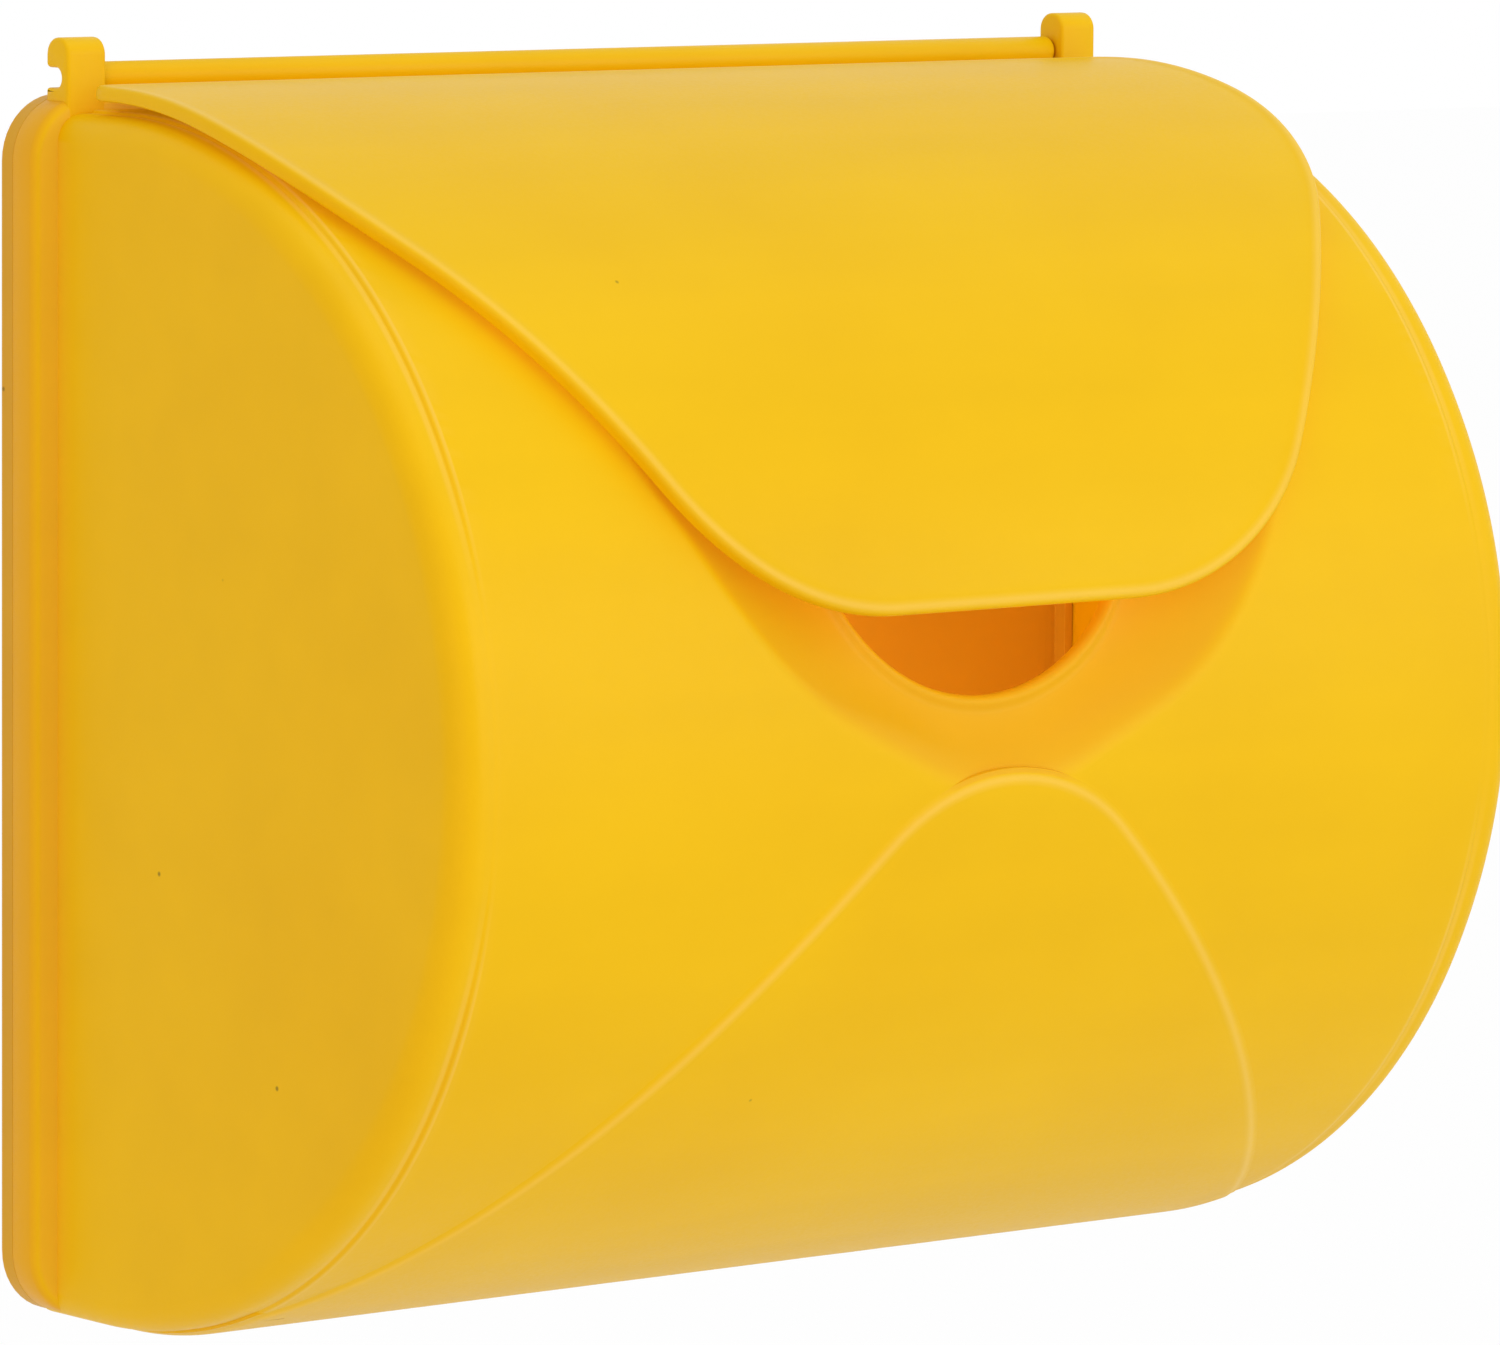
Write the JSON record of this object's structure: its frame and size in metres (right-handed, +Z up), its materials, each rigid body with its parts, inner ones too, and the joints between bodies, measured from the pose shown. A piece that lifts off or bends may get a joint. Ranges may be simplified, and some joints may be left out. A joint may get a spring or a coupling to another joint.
{
  "type": "play mailbox",
  "caption": "Wall-mounted plastic play mailbox with a half-round envelope front, a dished mail hole and a curved lid that swings up on a rear barrel hinge.",
  "frame": {"origin": "on the back face that lies against the wall, midway across, at the height of the curved front's axis", "axes": "+X to the right seen from the front, +Y into the wall, +Z up; the front faces -Y"},
  "size_m": [0.2624, 0.1354, 0.2379],
  "materials": {
    "shell_plastic": "satin moulded polypropylene with a fine grain",
    "panel_plastic": "satin moulded polypropylene with a fine grain",
    "lid_plastic": "satin moulded polypropylene with a fine grain",
    "screw_steel": "bright zinc plating"
  },
  "bodies": {
    "case": {"front_shell": "shell_plastic", "back_panel": "panel_plastic", "panel_screws": "screw_steel"},
    "lid": {"lid": "lid_plastic"}
  },
  "joints": [
    {"name": "lid_hinge", "type": "hinge", "parent": "case", "child": "lid", "pos_m": [0, -0.00625, 0.1178], "axis": [-1, 0, 0], "range_deg": [0, 102]}
  ]
}
